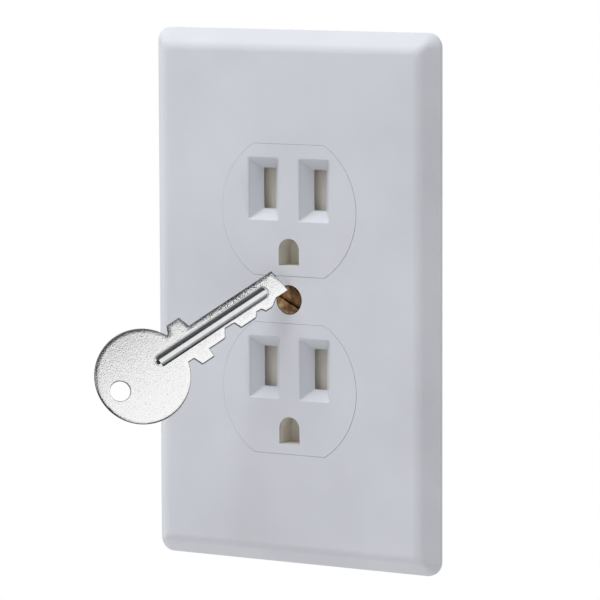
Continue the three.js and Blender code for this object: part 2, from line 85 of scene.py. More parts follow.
# Plate, from its rim to its front
PLATE_LOW, PLATE_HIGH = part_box("faceplate")
PLATE_FRONT = PLATE_LOW.y
PLATE_EDGE = 0.9 * MM
PLATE_CORNER = 3.2 * MM
PLATE_CORNER_STEPS = 10
FRONT_CORNER = 1.3 * MM
PLATE_RIM = 2.6 * MM
PLATE_WALL = 2.0 * MM
SLOPE_ANGLE = math.radians(45)
SHOULDER_RADIUS = 3.0 * MM
SHOULDER_STEPS = 10
SLOPE_DEPTH = -PLATE_FRONT - PLATE_EDGE - SHOULDER_RADIUS * (1 - math.cos(SLOPE_ANGLE))
POCKET_DEPTH = -PLATE_FRONT - PLATE_WALL
BOSS_RADIUS = 3.2 * MM
BOSS_HOLE_RADIUS = 1.4 * MM
BOSS_HOLE_FRONT = 2.15 * MM
MOULDED_EDGE = 0.05 * MM

# Outlet faces and the mouldings behind them
FACE_PROUD = 0.06 * MM
FACE_FRONT = PLATE_FRONT - FACE_PROUD
FACE_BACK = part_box("outlet_face_upper")[1].y
FACE_RADIUS = 16.8 * MM
FACE_FLAT = 14.2 * MM
FACE_SEAM = 0.04 * MM
FACE_LIP = 0.8 * MM
BACKING_INSET = 1.9 * MM
FUNNEL_DEPTH = 2.8 * MM
FUNNEL_BACK = FACE_FRONT + FUNNEL_DEPTH
SLOT_PITCH = 12.7 * MM
SLOT_LIFT = 4.4 * MM
SLOT_SIZE = Vector((3.0, 8.8)) * MM
SLOT_ROOM = Vector((3.6, 2.0)) * MM
SLOT_ROOM_DEPTH = 1.9 * MM
FUNNEL_SIZE = Vector((7.6, 13.45)) * MM
FUNNEL_CORNER = 0.45 * MM
FUNNEL_CORNER_STEPS = 4
FUNNEL_LIP = 0.3 * MM
FUNNEL_LIP_STEPS = 5
GROUND_DROP = 9.1 * MM
GROUND_SIZE = Vector((5.1, 5.9)) * MM
GROUND_ROUND_STEPS = 20
GROUND_SKIN = 0.5 * MM
GROUND_WALL = 1.3 * MM
BACKING_EDGE = 0.02 * MM
TRAY_GAP = 0.02 * MM

# Lock, with its slot's angle in degrees
LOCK_HEAD_RADIUS = 3.06 * MM
LOCK_HEAD_EDGE = 0.25 * MM
LOCK_HEAD_EDGE_STEPS = 5
LOCK_HOLE_GAP = 0.14 * MM
LOCK_SLOT_WIDTH = 1.15 * MM
LOCK_SLOT_DEPTH = 0.7 * MM
LOCK_SLOT_ANGLE = 27
SPINDLE_EDGE = 0.05 * MM
SPINDLE_RADIUS = 2.0 * MM
SPINDLE_SQUARE = 3.0 * MM
SPINDLE_THREAD_RADIUS = 1.4 * MM
SPINDLE_THREAD_PITCH = 0.5 * MM
THREAD_RIDGE_SHARE = 0.55
THREAD_STEPS = 24
CAM_FRONT, CAM_BACK = (corner.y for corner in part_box("lock_cam"))

# Key, drawn along -X from its tip with its cuts below, then turned as it is held. Plain lengths
# are in millimetres, as its outline is, and its turns are in degrees
KEY_THICKNESS = 1.0 * MM
SHEAR_LIMIT = 0.7
# Painted shade along the key's back edge: its middle, its spread and how strongly it darkens
EDGE_SHADE_MIDDLE = Vector((-11.0, 0, 4.0)) * MM
EDGE_SHADE_SPREAD = Vector((17.0, 6.0, 4.2)) * MM
EDGE_SHADE_SHARE = 0.42
KEY_EDGE = 0.18 * MM
KEY_ROLL_STEPS = [(0.25, 0.06), (0.35, 0.045), (0.5, 0.025)]
KEY_TIP_SLANT = 0.29
KEY_TIP_DROP = 2.7
KEY_BOW_CENTRE = 36.8
KEY_BOW_DROP = 0.8
KEY_BOW_RADIUS = 10.4
KEY_BOW_STEPS = 96
KEY_RING_PLACE = 42.7
KEY_RING_RADIUS = 2.2
KEY_NECK_HALF = 3.75
KEY_RIB_START = 4.8 * MM
KEY_RIB_END = 31.5 * MM
KEY_RIB_RADIUS = 1.5 * MM
KEY_RIB_HEIGHT = 0.7 * MM
KEY_RIB_DROP = 0.1 * MM
KEY_YAW = 31.04
KEY_PITCH = 6.35
KEY_LEAN = 33.4
KEY_POINT = 14
KEY_ROLL = 5
KEY_TIP_CORNER = Vector((0.62, -5.707, 2.3)) * MM
KEY_OUTLINE = [
    (-KEY_TIP_SLANT, -KEY_TIP_DROP), (2.88, -2.7), (4.66, -3.86),
    (6.37, -3.86), (6.93, -2.95), (8.1, -2.85), (8.97, -3.86),
    (12.9, -3.86), (13.65, -2.15), (16.0, -2.05), (17.15, -3.86),
    (21.35, -3.86), (21.35, -5.8), (24.5, -5.8), (25.35, -3.75),
]
KEY_BACK = [(27.0, 3.75), (26.2, 5.45), (23.0, 5.45), (22.2, 2.8), (KEY_TIP_SLANT, 2.8)]


# Modelling

def deselect():
    bpy.ops.object.select_all(action="DESELECT")


def activate(piece):
    deselect()
    piece.select_set(True)
    bpy.context.view_layer.objects.active = piece


def placed(name):
    """The new object under its name, with its place put into its mesh."""
    piece = bpy.context.object
    piece.name = name
    bpy.ops.object.transform_apply(location=True, rotation=True, scale=True)
    return piece


def block(name, low, high):
    low, high = Vector(low), Vector(high)
    deselect()
    bpy.ops.mesh.primitive_cube_add(size=1, location=(low + high) / 2, scale=high - low)
    return placed(name)


def rod(name, radius, front, back, x=0, z=0, sides=ROUND):
    deselect()
    bpy.ops.mesh.primitive_cylinder_add(
        vertices=sides, radius=radius, depth=back - front,
        location=(x, (front + back) / 2, z), rotation=(math.pi / 2, 0, 0))
    return placed(name)


def pick(piece, kind, test):
    """Goes into edit mode with the faces, edges or vertices selected that pass a test."""
    activate(piece)
    bpy.ops.object.mode_set(mode="EDIT")
    bpy.ops.mesh.select_mode(type=kind)
    bpy.ops.mesh.select_all(action="DESELECT")
    mesh = bmesh.from_edit_mesh(piece.data)
    parts = {"VERT": mesh.verts, "EDGE": mesh.edges, "FACE": mesh.faces}[kind]
    mesh.normal_update()
    for part in [p for p in parts if test(p)]:
        part.select_set(True)
    mesh.select_flush_mode()
    bmesh.update_edit_mesh(piece.data)


def leave():
    bpy.ops.object.mode_set(mode="OBJECT")


def faces_front(face):
    return face.normal.y < -0.9


def faces_back(face):
    return face.normal.y > 0.9


def middle(edge):
    return (edge.verts[0].co + edge.verts[1].co) / 2


def along(edge, axis):
    """Whether an edge runs along an axis."""
    step = edge.verts[1].co - edge.verts[0].co
    return abs(step.normalized()[axis]) > NEARLY


def draw_in(size, inwards, forwards):
    """Extrudes the selected front of a size forwards and draws in its sides. Gives its new size."""
    bpy.ops.mesh.extrude_region_move(TRANSFORM_OT_translate={"value": (0, -forwards, 0)})
    smaller = size - 2 * Vector((inwards, inwards))
    bpy.ops.transform.resize(value=(smaller.x / size.x, 1, smaller.y / size.y))
    return smaller


def modify(piece, kind, **settings):
    """Adds a modifier with its settings and applies it."""
    activate(piece)
    modifier = piece.modifiers.new(kind.title(), kind)
    for key, value in settings.items():
        setattr(modifier, key, value)
    bpy.ops.object.modifier_apply(modifier=modifier.name)


def combine(piece, other, operation):
    modify(piece, "BOOLEAN", operation=operation, object=other, solver="EXACT")
    bpy.data.objects.remove(other)


def cut(piece, *cutters):
    for cutter in cutters:
        combine(piece, cutter, "DIFFERENCE")


def weld(piece, *others):
    for other in others:
        combine(piece, other, "UNION")


def soften(piece, radius, segments):
    """Rounds the edges, and shades the rest smooth with its flats kept flat."""
    modify(
        piece, "BEVEL", width=radius, segments=segments, limit_method="ANGLE",
        angle_limit=SOFT_ANGLE, use_clamp_overlap=False)
    activate(piece)
    bpy.ops.object.shade_smooth_by_angle(angle=SOFT_ANGLE)
    modify(piece, "WEIGHTED_NORMAL", keep_sharp=True)


def dress(piece, body, material, replaces):
    """Gives a finished piece its body and its material, and hides the node that it stands for."""
    piece.data.materials.clear()
    piece.data.materials.append(material)
    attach(piece, body)
    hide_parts(replaces)


def key_matrix():
    """Takes the key from where it is drawn to where it is held at the lock."""
    turn = Matrix.Rotation(math.radians(KEY_YAW), 4, "Z")
    turn = turn @ Matrix.Rotation(math.radians(-KEY_PITCH), 4, "X")
    turn = turn @ Matrix.Rotation(math.radians(-KEY_LEAN), 4, "Y")
    turn = turn @ Matrix.Rotation(math.radians(KEY_POINT), 4, "Z")
    turn = turn @ Matrix.Rotation(math.radians(-KEY_ROLL), 4, "X")
    lift = Matrix.Translation(Vector((-KEY_TIP_SLANT, 0, KEY_TIP_DROP)) * MM)
    return Matrix.Translation(KEY_TIP_CORNER) @ turn @ lift


# Materials

def colour(code):
    """An sRGB hex colour as linear values."""
    parts = [int(code[i:i + 2], 16) / 255 for i in (1, 3, 5)]
    return [c / 12.92 if c <= 0.04045 else ((c + 0.055) / 1.055) ** 2.4 for c in parts] + [1]


def add(tree, kind, settings=None, links=None):
    """Adds a node, with settings for its properties and sockets, and links into its sockets."""
    made = tree.nodes.new("ShaderNode" + kind)
    for key, value in (settings or {}).items():
        if hasattr(made, key):
            setattr(made, key, value)
        else:
            made.inputs[key].default_value = value
    for key, source in (links or {}).items():
        tree.links.new(source, made.inputs[key])
    return made


def ramp(tree, source, *stops):
    """Colours a value, with (place, hex colour) stops."""
    made = add(tree, "ValToRGB", links={"Fac": source})
    elements = made.color_ramp.elements
    while len(elements) < len(stops):
        elements.new(0.5)
    for element, (place, code) in zip(elements, stops):
        element.position = place
        element.color = colour(code)
    return made.outputs["Color"]


def surface(name, **settings):
    """A new material with its tree, its shader and the object coordinates."""
    material = bpy.data.materials.new(name)
    material.use_nodes = True
    tree = material.node_tree
    shader = tree.nodes["Principled BSDF"]
    for key, value in settings.items():
        shader.inputs[key.replace("_", " ")].default_value = value
    place = add(tree, "TexCoord").outputs["Object"]
    return material, tree, shader, place


def grain(tree, place, size, detail=2.0):
    """Noise whose lumps are about so many millimetres across."""
    settings = {"Scale": 1 / (size * MM), "Detail": detail, "Roughness": 0.55}
    return add(tree, "TexNoise", settings, {"Vector": place}).outputs["Fac"]


def bumped(tree, shader, height, strength, distance):
    settings = {"Strength": strength, "Distance": distance * MM}
    bump = add(tree, "Bump", settings, {"Height": height})
    tree.links.new(bump.outputs["Normal"], shader.inputs["Normal"])


def white_abs():
    # ABS, injection moulded in a lightly textured mould: cool white, satin, with a faint grain
    material, tree, shader, place = surface("white_moulded_abs", Roughness=0.42, IOR=1.53)
    tone = ramp(tree, grain(tree, place, 22), (0.35, "#cdcfd6"), (0.65, "#d3d5dc"))
    tree.links.new(tone, shader.inputs["Base Color"])
    bumped(tree, shader, grain(tree, place, 0.45), 0.12, 0.03)
    return material


def beige_abs():
    # ABS in its natural tint, moulded without a texture: beige and rather matt
    material, tree, shader, place = surface("beige_moulded_abs", Roughness=0.55, IOR=1.53)
    tone = ramp(tree, grain(tree, place, 9), (0.35, "#dcd7cc"), (0.65, "#e2ddd3"))
    tree.links.new(tone, shader.inputs["Base Color"])
    bumped(tree, shader, grain(tree, place, 0.4), 0.15, 0.03)
    return material


def grey_abs():
    # ABS with a coarse spark-eroded texture: light grey and matt
    material, tree, shader, place = surface("grey_moulded_abs", Roughness=0.6, IOR=1.53)
    tone = ramp(tree, grain(tree, place, 14), (0.35, "#b8bbc0"), (0.65, "#bcbfc3"))
    tree.links.new(tone, shader.inputs["Base Color"])
    bumped(tree, shader, grain(tree, place, 0.6, 3), 0.35, 0.06)
    return material


def turned_brass():
    # Brass bar, turned and long handled: brown-gold, with turning rings and darker patches
    material, tree, shader, place = surface("turned_aged_brass", Metallic=1.0, Roughness=0.36)
    tone = ramp(
        tree, grain(tree, place, 1.4, 4), (0.3, "#6b4326"), (0.5, "#8a6846"), (0.7, "#b49c7b"))
    tree.links.new(tone, shader.inputs["Base Color"])
    rings = add(
        tree, "TexWave",
        {"wave_type": "RINGS", "rings_direction": "Y", "Scale": 1 / (0.9 * MM), "Distortion": 0.6},
        {"Vector": place})
    bumped(tree, shader, rings.outputs["Fac"], 0.12, 0.02)
    return material


def zinc_steel():
    # Steel, cold formed and zinc plated: bluish grey, half bright, with a fine spangle
    material, tree, shader, place = surface("zinc_plated_steel", Metallic=1.0, Roughness=0.34)
    tone = ramp(tree, grain(tree, place, 1.1, 3), (0.3, "#a9adb1"), (0.7, "#c3c6c9"))
    tree.links.new(tone, shader.inputs["Base Color"])
    bumped(tree, shader, grain(tree, place, 0.3), 0.15, 0.02)
    return material


def satin_nickel():
    # Nickel plate over sheet steel, long carried: nearly white and pebbled, with painted shade
    # in fine dark speckles that gathers along the blade's back edge
    material, tree, shader, place = surface("satin_nickel_plate", Metallic=1.0, Roughness=0.16)
    matrix = key_matrix()
    settings = {
        "vector_type": "TEXTURE", "Location": matrix @ EDGE_SHADE_MIDDLE, "Rotation": matrix.to_euler(),
        "Scale": EDGE_SHADE_SPREAD}
    edge_shade_place = add(tree, "Mapping", settings, {"Vector": place})
    near = add(
        tree, "TexGradient", {"gradient_type": "SPHERICAL"}, {"Vector": edge_shade_place.outputs["Vector"]})
    height = add(tree, "Math", {"operation": "MULTIPLY_ADD"})
    tree.links.new(near.outputs["Fac"], height.inputs[0])
    height.inputs[1].default_value = -EDGE_SHADE_SHARE
    tree.links.new(grain(tree, place, 0.24, 1), height.inputs[2])
    # The dark stop is painted shade, speckled and gathered along the blade's back edge
    tone = ramp(tree, height.outputs[0], (0.19, "#505355"), (0.31, "#f6f6f6"), (1.0, "#fbfbfb"))
    tree.links.new(tone, shader.inputs["Base Color"])
    bumped(tree, shader, grain(tree, place, 0.27, 2), 1.0, 0.038)
    return material


def sheared_nickel():
    # The same plate on the sheared walls of the blank, which stay rough and dull; dark grey as
    # painted shade
    material, tree, shader, place = surface("shade_painted_wall_nickel_plate", Metallic=1.0, Roughness=0.5)
    tone = ramp(tree, grain(tree, place, 0.5, 3), (0.35, "#1f2123"), (0.65, "#303235"))
    tree.links.new(tone, shader.inputs["Base Color"])
    bumped(tree, shader, grain(tree, place, 0.25), 0.4, 0.04)
    return material


def bright_nickel():
    # The same plate where the press has polished it, on the rib: mirror bright
    material, tree, shader, place = surface("bright_nickel_plate", Metallic=1.0, Roughness=0.12)
    tone = ramp(tree, grain(tree, place, 2.0), (0.3, "#dfe1e2"), (0.7, "#ebecec"))
    tree.links.new(tone, shader.inputs["Base Color"])
    return material


WHITE = white_abs()
BEIGE = beige_abs()
GREY = grey_abs()
BRASS = turned_brass()
ZINC = zinc_steel()
SATIN_NICKEL = satin_nickel()
SHADE_PAINTED_WALL_NICKEL = sheared_nickel()
BRIGHT_NICKEL = bright_nickel()


# Cover plate and outlet faces

def face_disc(name, grown, front, back, z):
    """A disc cut flat above and below, as the outlet faces are, grown by some margin."""
    disc = rod(name, FACE_RADIUS + grown, front, back, 0, z, FINE_ROUND)
    flat = FACE_FLAT + grown
    # Each cut snaps to the disc's own corners, which are under a tenth of a millimetre away
    for side in (1, -1):
        pick(disc, "FACE", lambda face: True)
        bpy.ops.mesh.bisect(
            plane_co=(0, 0, z + side * flat), plane_no=(0, 0, side),
            use_fill=True, clear_outer=True)
        leave()
    return disc


def ground_block(name, grown, front, back, z):
    """The ground hole's form, flat below and round above, grown by some margin."""
    half = GROUND_SIZE.x / 2 + grown
    bottom = z - GROUND_DROP - GROUND_SIZE.y / 2 - grown
    top = z - GROUND_DROP + GROUND_SIZE.y / 2 + grown
    made = block(name, (-half, front, bottom), (half, back, top))
    pick(made, "EDGE", lambda edge: along(edge, 1) and middle(edge).z > bottom + half)
    bpy.ops.mesh.bevel(offset=half * NEARLY, segments=GROUND_ROUND_STEPS, affect="EDGES")
    leave()
    return made


def funnel_block(x, z):
    """A blade slot with the funnel that leads into it, whose lip rolls out into the face."""
    size = FUNNEL_SIZE - Vector((FUNNEL_LIP, FUNNEL_LIP))
    half = size / 2
    low = (x - half.x, FACE_FRONT + FUNNEL_LIP, z + SLOT_LIFT - half.y)
    high = (x + half.x, FUNNEL_BACK, z + SLOT_LIFT + half.y)
    made = block("funnel_cutter", low, high)
    pick(made, "EDGE", lambda edge: along(edge, 1))
    bpy.ops.mesh.bevel(offset=FUNNEL_CORNER, segments=FUNNEL_CORNER_STEPS, affect="EDGES")
    leave()
    pick(made, "FACE", faces_back)
    share = (SLOT_SIZE.x / size.x, 1, SLOT_SIZE.y / size.y)
    bpy.ops.transform.resize(value=share)
    bpy.ops.mesh.extrude_region_move(TRANSFORM_OT_translate={"value": (0, -FUNNEL_BACK, 0)})
    leave()
    pick(made, "FACE", faces_front)
    angles = [math.pi / 2 * i / FUNNEL_LIP_STEPS for i in range(FUNNEL_LIP_STEPS + 1)]
    for start, end in zip(angles, angles[1:]):
        forwards = FUNNEL_LIP * (math.sin(end) - math.sin(start))
        size = draw_in(size, FUNNEL_LIP * (math.cos(end) - math.cos(start)), forwards)
    bpy.ops.mesh.extrude_region_move(TRANSFORM_OT_translate={"value": (0, -OVERRUN, 0)})
    leave()
    return made


def slot_block(x, z, front, back):
    """A slot's room behind its funnel, wide enough that its walls don't show through the slot."""
    half = (SLOT_SIZE + SLOT_ROOM) / 2
    lift = z + SLOT_LIFT
    low = (x - half.x, front, lift - half.y)
    return block("slot_cutter", low, (x + half.x, back, lift + half.y))


def face_heights():
    """The heights of the two outlet faces' middles."""
    low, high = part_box("outlet_face_upper")
    return {"upper": (low.z + high.z) / 2, "lower": -(low.z + high.z) / 2}


def slot_places():
    """Where a face's two slots are, from side to side."""
    return (-SLOT_PITCH / 2, SLOT_PITCH / 2)


def boss_places():
    """The middles of the tray's four screws."""
    boxes = [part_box("tray_screw_" + str(i)) for i in (1, 2, 3, 4)]
    return [((low.x + high.x) / 2, (low.z + high.z) / 2) for low, high in boxes]


def cover_plate():
    """The plate, from its rim up to its front, then its hollow, bosses and holes."""
    low = (PLATE_LOW.x, -PLATE_EDGE, PLATE_LOW.z)
    plate = block("cover_plate", low, (PLATE_HIGH.x, 0, PLATE_HIGH.z))
    pick(plate, "EDGE", lambda edge: along(edge, 1))
    bpy.ops.mesh.bevel(offset=PLATE_CORNER, segments=PLATE_CORNER_STEPS, affect="EDGES")
    leave()
    # The slope, whose corners first get tighter, then the shoulder that rounds it into the front
    pick(plate, "FACE", faces_front)
    tighter = PLATE_CORNER - FRONT_CORNER
    bpy.ops.mesh.inset(thickness=tighter, depth=tighter * math.tan(SLOPE_ANGLE))
    size = (PLATE_HIGH - PLATE_LOW).xz - 2 * Vector((tighter, tighter))
    rest = SLOPE_DEPTH - tighter * math.tan(SLOPE_ANGLE)
    size = draw_in(size, rest / math.tan(SLOPE_ANGLE), rest)
    angles = [SLOPE_ANGLE * (1 - i / SHOULDER_STEPS) for i in range(SHOULDER_STEPS + 1)]
    for start, end in zip(angles, angles[1:]):
        inwards = SHOULDER_RADIUS * (math.sin(start) - math.sin(end))
        size = draw_in(size, inwards, SHOULDER_RADIUS * (math.cos(end) - math.cos(start)))
    leave()
    # The hollow behind
    pick(plate, "FACE", faces_back)
    bpy.ops.mesh.inset(thickness=PLATE_RIM)
    bpy.ops.mesh.extrude_region_move(TRANSFORM_OT_translate={"value": (0, -POCKET_DEPTH, 0)})
    leave()
    for x, z in boss_places():
        front = -POCKET_DEPTH - PLATE_WALL / 2
        weld(plate, rod("boss", BOSS_RADIUS, front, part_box("faceplate")[1].y, x, z))
        cut(plate, rod("boss_hole", BOSS_HOLE_RADIUS, -BOSS_HOLE_FRONT, OVERRUN, x, z))
    for z in face_heights().values():
        cut(plate, face_disc("face_hole", FACE_SEAM, PLATE_FRONT - OVERRUN, 0, z))
    cut(plate, rod("lock_hole", LOCK_HEAD_RADIUS + LOCK_HOLE_GAP, PLATE_FRONT - OVERRUN, 0))
    soften(plate, MOULDED_EDGE, 2)
    dress(plate, "drawer", WHITE, "faceplate")


def outlet_face(place, z):
    """A face with the lip that holds it behind the plate, its funnels and its ground hole."""
    face = face_disc("face_" + place, 0, FACE_FRONT, FACE_BACK, z)
    weld(face, face_disc("lip", FACE_LIP, -POCKET_DEPTH + SEAT_GAP, FACE_BACK, z))
    cut(face, face_disc("pocket", SEAT_GAP - BACKING_INSET, FUNNEL_BACK, OVERRUN, z))
    cut(face, *[funnel_block(x, z) for x in slot_places()])
    cut(face, ground_block("ground_hole", 0, FACE_FRONT - OVERRUN, OVERRUN, z))
    room_front = FACE_FRONT + GROUND_SKIN
    cut(face, ground_block("nib_room", GROUND_WALL + SEAT_GAP, room_front, OVERRUN, z))
    soften(face, MOULDED_EDGE, 2)
    dress(face, "drawer", WHITE, "outlet_face_" + place)


def outlet_backing(place, z):
    """The beige moulding behind a face, whose nib lines the ground hole."""
    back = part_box("drawer_tray")[0].y - TRAY_GAP
    backing = face_disc("backing_" + place, -BACKING_INSET, FUNNEL_BACK + SEAT_GAP, back, z)
    nib = ground_block("nib", GROUND_WALL, FACE_FRONT + GROUND_SKIN + SEAT_GAP, back, z)
    weld(backing, nib)
    room_back = FUNNEL_BACK + SLOT_ROOM_DEPTH
    cut(backing, *[slot_block(x, z, FACE_FRONT, room_back) for x in slot_places()])
    cut(backing, ground_block("ground_hole", 0, FACE_FRONT, OVERRUN, z))
    soften(backing, BACKING_EDGE, 1)
    dress(backing, "drawer", BEIGE, "outlet_backing_" + place)


# Lock and screws

def thread(name, radius, pitch, front, back):
    """A screw thread's ridge, wound round a rod on the lock's axis."""
    deselect()
    bpy.ops.mesh.primitive_circle_add(
        vertices=3, radius=pitch * THREAD_RIDGE_SHARE, location=(radius, front, 0))
    ridge = placed(name)
    turns = int((back - front) / pitch)
    modify(
        ridge, "SCREW", axis="Y", screw_offset=-pitch, iterations=turns,
        steps=THREAD_STEPS, render_steps=THREAD_STEPS)
    pick(ridge, "EDGE", lambda edge: edge.is_boundary)
    bpy.ops.mesh.fill_holes(sides=0)
    bpy.ops.mesh.select_all(action="SELECT")
    bpy.ops.mesh.remove_doubles(threshold=TINY / 10)
    bpy.ops.mesh.normals_make_consistent(inside=False)
    leave()
    return ridge


def join(piece, *others):
    """Puts others into a piece, each with its own closed surface."""
    activate(piece)
    for other in others:
        other.select_set(True)
    bpy.ops.object.join()


def turned_slot(width, length, front, back, degrees):
    """A cutter for a screwdriver's slot, turned about the lock's axis."""
    slot = block("slot", (-length / 2, front, -width / 2), (length / 2, back, width / 2))
    slot.rotation_euler.y = math.radians(degrees)
    activate(slot)
    bpy.ops.object.transform_apply(rotation=True)
    return slot


def lock_screw():
    """The slotted head with its shaft, the cam's square and the thread of the cam's nut."""
    front, tail = (corner.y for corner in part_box("lock_spindle"))
    screw = rod("lock_screw", LOCK_HEAD_RADIUS, front, -POCKET_DEPTH, sides=LOCK_ROUND)
    pick(screw, "EDGE", lambda edge: all(v.co.y < front + TINY for v in edge.verts))
    bpy.ops.mesh.bevel(offset=LOCK_HEAD_EDGE, segments=LOCK_HEAD_EDGE_STEPS, affect="EDGES")
    leave()
    cut(screw, turned_slot(
        LOCK_SLOT_WIDTH, 4 * LOCK_HEAD_RADIUS, front - OVERRUN, front + LOCK_SLOT_DEPTH,
        LOCK_SLOT_ANGLE))
    weld(screw, rod("shaft", SPINDLE_RADIUS, -POCKET_DEPTH - SEAT_GAP, CAM_FRONT))
    half = SPINDLE_SQUARE / 2
    weld(screw, block("square", (-half, CAM_FRONT - SEAT_GAP, -half), (half, CAM_BACK, half)))
    core = SPINDLE_THREAD_RADIUS - SPINDLE_THREAD_PITCH / 2
    weld(screw, rod("tail", core, CAM_BACK - SEAT_GAP, tail, sides=TAIL_ROUND))
    soften(screw, SPINDLE_EDGE, 2)
    ridge = thread(
        "ridge", core, SPINDLE_THREAD_PITCH,
        CAM_BACK + SPINDLE_THREAD_PITCH / 2, tail - SPINDLE_THREAD_PITCH / 2)
    join(screw, ridge)
    dress(screw, "lock", BRASS, "lock_spindle")


# Key

def arc(x, y, radius, start, end, steps):
    """Points along an arc, with its ends in radians."""
    angles = [start + (end - start) * i / steps for i in range(steps + 1)]
    return [(x + radius * math.cos(a), y + radius * math.sin(a)) for a in angles]


def key_outline():
    """The key's outline from its tip along the cuts, round the bow and back."""
    start = math.asin((KEY_NECK_HALF - KEY_BOW_DROP) / KEY_BOW_RADIUS)
    end = math.asin((KEY_NECK_HALF + KEY_BOW_DROP) / KEY_BOW_RADIUS)
    bow = arc(
        -KEY_BOW_CENTRE, -KEY_BOW_DROP, KEY_BOW_RADIUS, -start, end - 2 * math.pi, KEY_BOW_STEPS)
    return [(-u, v) for u, v in KEY_OUTLINE] + bow + [(-u, v) for u, v in KEY_BACK]


def stamped_blank(name, outline, front, back):
    """An outline in millimetres, stood upright and made thick from one depth to another."""
    curve = bpy.data.curves.new(name, "CURVE")
    curve.dimensions = "2D"
    curve.fill_mode = "NONE"
    spline = curve.splines.new("POLY")
    spline.points.add(len(outline) - 1)
    for point, (u, v) in zip(spline.points, outline):
        point.co = (u * MM, v * MM, 0, 1)
    spline.use_cyclic_u = True
    blank = bpy.data.objects.new(name, curve)
    bpy.context.collection.objects.link(blank)
    activate(blank)
    bpy.ops.object.convert(target="MESH")
    blank.rotation_euler.x = math.pi / 2
    blank.location.y = front
    placed(name)
    pick(blank, "VERT", lambda vert: True)
    bpy.ops.mesh.edge_face_add()
    bpy.ops.mesh.extrude_region_move(TRANSFORM_OT_translate={"value": (0, back - front, 0)})
    bpy.ops.mesh.select_all(action="SELECT")
    bpy.ops.mesh.normals_make_consistent(inside=False)
    leave()
    return blank


def key_rib():
    """The rib that is pressed up along the key: a long half round with round ends."""
    deselect()
    bpy.ops.mesh.primitive_uv_sphere_add(
        segments=48, ring_count=24, radius=KEY_RIB_RADIUS, rotation=(0, math.pi / 2, 0))
    rib = placed("key_rib")
    pick(rib, "VERT", lambda vert: vert.co.x < -TINY)
    bpy.ops.transform.translate(value=(KEY_RIB_START - KEY_RIB_END, 0, 0))
    leave()
    pick(rib, "VERT", lambda vert: True)
    share = KEY_RIB_HEIGHT / KEY_RIB_RADIUS
    bpy.ops.transform.resize(value=(1, share, 1), center_override=(0, 0, 0))
    bpy.ops.transform.translate(value=(-KEY_RIB_START, 0, -KEY_RIB_DROP))
    leave()
    bpy.ops.object.shade_smooth()
    return rib


def flat_key():
    """The stamped blank with its rib and its ring hole."""
    roll = sum(rise for width, rise in KEY_ROLL_STEPS) * MM
    key = stamped_blank("flat_key", key_outline(), roll, KEY_THICKNESS)
    # The press draws the edges of the front down a little, so they roll off in a band
    pick(key, "FACE", faces_front)
    for width, rise in KEY_ROLL_STEPS:
        bpy.ops.mesh.inset(thickness=width * MM, depth=rise * MM)
    leave()
    cut(key, rod(
        "ring_hole", KEY_RING_RADIUS * MM, -OVERRUN, KEY_THICKNESS + OVERRUN,
        -KEY_RING_PLACE * MM, -KEY_BOW_DROP * MM))
    soften(key, KEY_EDGE, 3)
    key.data.materials.append(SATIN_NICKEL)
    key.data.materials.append(SHADE_PAINTED_WALL_NICKEL)
    # What faces sideways is the sheared wall, which gets the painted shade
    pick(key, "FACE", lambda face: abs(face.normal.y) < SHEAR_LIMIT)
    key.active_material_index = 1
    bpy.ops.object.material_slot_assign()
    leave()
    rib = key_rib()
    rib.data.materials.append(BRIGHT_NICKEL)
    join(key, rib)
    key.matrix_world = key_matrix()
    activate(key)
    bpy.ops.object.transform_apply(location=True, rotation=True, scale=True)
    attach(key, "held_key")
    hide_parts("key")


# Plainer pieces, which keep their forms and get rounded edges

def rounded(name, node, radius):
    """A copy of a node with its triangles merged into faces and its edges rounded."""
    source = frame["nodes"][node]
    piece = source.copy()
    piece.data = source.data.copy()
    piece.name = name
    piece.parent = None
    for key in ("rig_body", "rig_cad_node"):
        del piece[key]
    bpy.context.collection.objects.link(piece)
    pick(piece, "FACE", lambda face: True)
    bpy.ops.mesh.remove_doubles(threshold=TINY)
    bpy.ops.mesh.dissolve_limited(angle_limit=FLAT_ANGLE)
    leave()
    soften(piece, radius, 2)
    return piece


def body_of(node):
    """The body that a node is on."""
    bodies = frame["record"]["behaviour"]["bodies"]
    return next(body for body, nodes in bodies.items() if node in nodes)


def plain_pieces():
    """The pieces that are their own solids with edges rounded by so many millimetres."""
    rows = [
        ("sleeve", "wall_sleeve", 0.25, "sleeve_plastic", GREY),
        ("tray", "drawer_tray", 0.25, "beige_plastic", BEIGE),
        ("wing_upper", "clamp_wing_upper", 0.15, "zinc_steel", ZINC),
        ("wing_lower", "clamp_wing_lower", 0.15, "zinc_steel", ZINC),
        ("bushing", "lock_bushing", 0.1, "brass", BRASS),
        ("nut_bushing", "bushing_nut", 0.15, "brass", BRASS),
        ("washer", "spring_washer", 0.06, "zinc_steel", ZINC),
        ("cam", "lock_cam", 0.15, "zinc_steel", ZINC),
        ("nut_cam", "cam_nut", 0.12, "brass", BRASS),
    ]
    for i in "1234":
        rows.append(("screw_tray_" + i, "tray_screw_" + i, 0.12, "zinc_steel", ZINC))
    for i in ("upper", "lower"):
        rows.append(("screw_clamp_" + i, "clamp_screw_" + i, 0.15, "zinc_steel", ZINC))
    for name, node, radius, slot, material in rows:
        dress(rounded(name, node, radius * MM), body_of(node), material, node)


# Camera, lights and surroundings

CAMERA_YAW = 31.038
CAMERA_PITCH = 6.345
CAMERA_ROLL = -0.197
CAMERA_TARGET = Vector((0.104, 0, -0.427)) * MM
CAMERA_DISTANCE = 899.38 * MM
CAMERA_LENS = 248.5
CAMERA_SENSOR = 36

AMBIENT = 0.545
LAMP_DIRECTION = Vector((-0.186, -0.267, 0.686)).normalized()
LAMP_DISTANCE = 1.1
LAMP_SIZE = 0.7
LAMP_POWER = 9.8

# The cards' faces are a degree wide
CARD_FACES = 360

